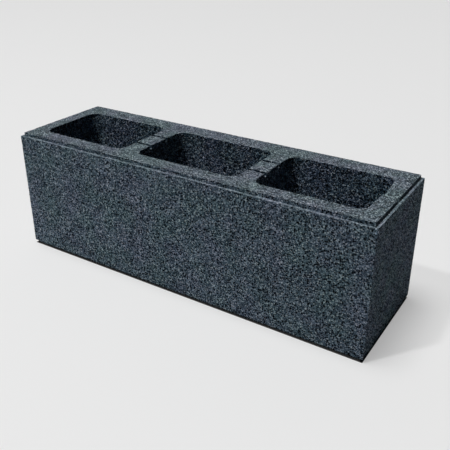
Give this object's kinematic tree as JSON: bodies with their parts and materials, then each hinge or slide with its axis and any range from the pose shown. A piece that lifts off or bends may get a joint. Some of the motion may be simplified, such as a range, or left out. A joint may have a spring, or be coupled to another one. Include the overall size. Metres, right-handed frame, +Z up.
{
  "type": "hollow concrete wall block",
  "caption": "Long hollow concrete block with through cells, a small rebate round its top and bottom edges and scored webs, for walls and fence piers.",
  "frame": {"origin": "on the ground under the middle of the block", "axes": "+X along the length of the block, -Y out of its front face, +Z up through the cells"},
  "size_m": [0.6, 0.18, 0.2],
  "materials": {
    "concrete": "dark grey through-coloured concrete, fine open grain"
  },
  "bodies": {
    "root": {"block": "concrete"}
  },
  "joints": []
}
